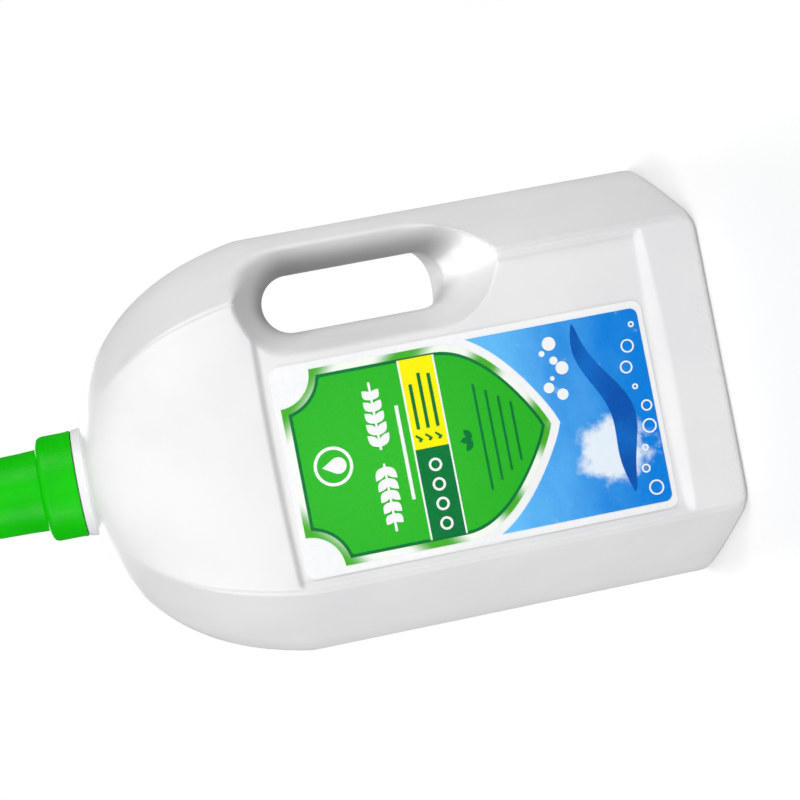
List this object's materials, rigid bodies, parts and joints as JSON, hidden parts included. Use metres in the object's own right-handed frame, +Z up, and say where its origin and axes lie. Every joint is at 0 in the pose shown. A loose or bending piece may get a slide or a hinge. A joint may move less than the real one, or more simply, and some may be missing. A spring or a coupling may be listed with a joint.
{
  "type": "laundry disinfectant bottle",
  "caption": "White blow-moulded jug with a hexagonal body, a grip hole at one side, a domed shoulder, a green stepped screw cap and a green and blue front label",
  "frame": {"origin": "middle of the base, on the plane it stands on", "axes": "+Z up along the neck, -Y out of the front label, +X towards the grip"},
  "size_m": [0.18, 0.108, 0.3018],
  "materials": {
    "shell_white": "satin moulded HDPE",
    "natural_plastic": "satin moulded HDPE",
    "seal_foam": "soft matt foam",
    "cap_green": "glossy moulded PP",
    "label_film": "glossy film",
    "ink_blue": "glossy print",
    "ink_pale_green": "glossy print",
    "ink_green": "glossy print",
    "ink_dark_green": "glossy print",
    "ink_yellow": "glossy print",
    "ink_deep_blue": "glossy print",
    "ink_white": "glossy print"
  },
  "bodies": {
    "bottle": {"bottle_shell": "shell_white", "pour_spout": "natural_plastic", "front_label": "label_film", "back_label": "label_film", "blue_print": "ink_blue", "shield_rim_print": "ink_pale_green", "shield_print": "ink_green", "dark_green_print": "ink_dark_green", "band_yellow_print": "ink_yellow", "wave_print": "ink_deep_blue", "white_print": "ink_white"},
    "seal": {"sealing_ring": "seal_foam"},
    "cap": {"measuring_cap": "cap_green"}
  },
  "joints": [
    {"name": "cap_turn", "type": "hinge", "parent": "seal", "child": "cap", "pos_m": [0, 0, 0.27], "axis": [0, 0, 1], "range_deg": [0, 540]},
    {"name": "cap_lift", "type": "slide", "parent": "bottle", "child": "seal", "axis": [0, 0, 1], "range_m": [0, 0.00632]}
  ],
  "couplings": [
    {"joint": "cap_lift", "follows": "cap_turn", "m_per_rad": 0.00066845}
  ]
}
